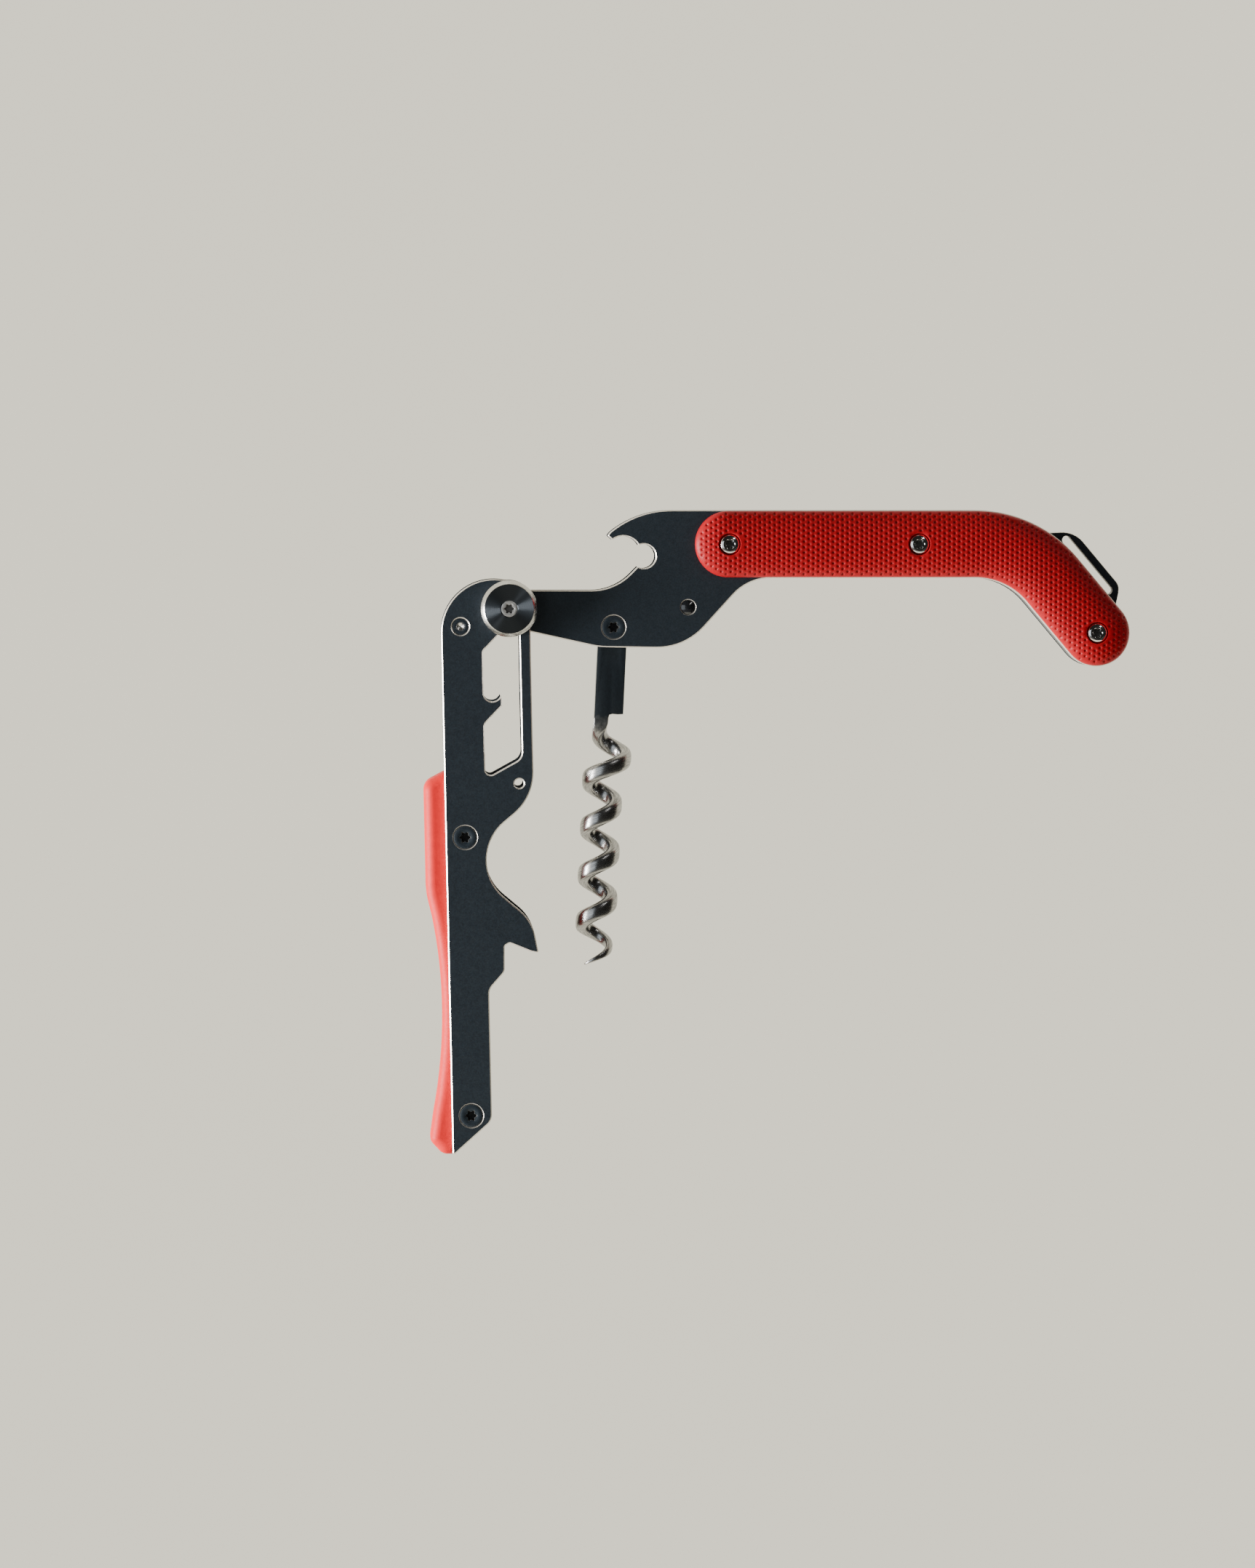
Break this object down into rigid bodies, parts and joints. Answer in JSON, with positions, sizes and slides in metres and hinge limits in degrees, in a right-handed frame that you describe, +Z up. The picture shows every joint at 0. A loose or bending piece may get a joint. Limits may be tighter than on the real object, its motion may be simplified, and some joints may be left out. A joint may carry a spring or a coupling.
{
  "type": "lever corkscrew",
  "caption": "Folding lever corkscrew: cap lifter in a bent handle with dimpled grips, twin-plate lever with foil-cutter hook, thumb cut and bottle-rim notch, and an open worm.",
  "frame": {"origin": "tip of the worm, on the worm's axis", "axes": "+X along the handle from the pivot to the tail, +Y through the stack of plates towards the back, +Z up with the handle level and the lever and worm hanging"},
  "size_m": [0.1291, 0.0178, 0.1178],
  "materials": {
    "coated_steel": "black coating, fine matt texture, bright ground edges",
    "red_grip": "satin, dimpled",
    "red_spine": "satin, fine grain",
    "bright_screw": "polished",
    "black_screw": "black oxide, satin",
    "black_knob": "turned black face, bright chamfer",
    "plain_steel": "turned",
    "bronze_washer": "plain",
    "worm_steel": "bright drawn wire, black shank"
  },
  "bodies": {
    "handle": {"handle_plate_front": "coated_steel", "handle_plate_back": "coated_steel", "handle_core": "coated_steel", "grip_scale_front": "red_grip", "grip_scale_back": "red_grip", "grip_screws_front": "bright_screw", "grip_screws_back": "bright_screw", "worm_stop_pin": "black_screw", "worm_axle": "plain_steel", "worm_screw_front": "black_screw", "worm_screw_back": "black_screw", "worm_washer_front": "plain_steel", "worm_washer_back": "plain_steel"},
    "worm": {"worm": "worm_steel"},
    "lever": {"lever_plate_front": "coated_steel", "lever_plate_back": "coated_steel", "lever_spine": "red_spine", "spine_screws_front": "black_screw", "spine_screws_back": "black_screw", "lever_cross_pin": "plain_steel", "pivot_barrel": "plain_steel", "pivot_knob_front": "black_knob", "pivot_knob_back": "black_knob", "pivot_screw_front": "bright_screw", "pivot_screw_back": "bright_screw", "pivot_washer_front": "bronze_washer", "pivot_washer_back": "bronze_washer"}
  },
  "joints": [
    {"name": "lever_hinge", "type": "hinge", "parent": "handle", "child": "lever", "pos_m": [-0.01618, 0, 0.06537], "axis": [0, 1, 0], "range_deg": [-88.8, 40]},
    {"name": "worm_hinge", "type": "hinge", "parent": "handle", "child": "worm", "pos_m": [0.00292, 0, 0.06193], "axis": [0, 1, 0], "range_deg": [-92.75, 41.8]}
  ],
  "couplings": [
    {"joint": "worm_hinge", "follows": "lever_hinge", "ratio": 1.0439}
  ]
}
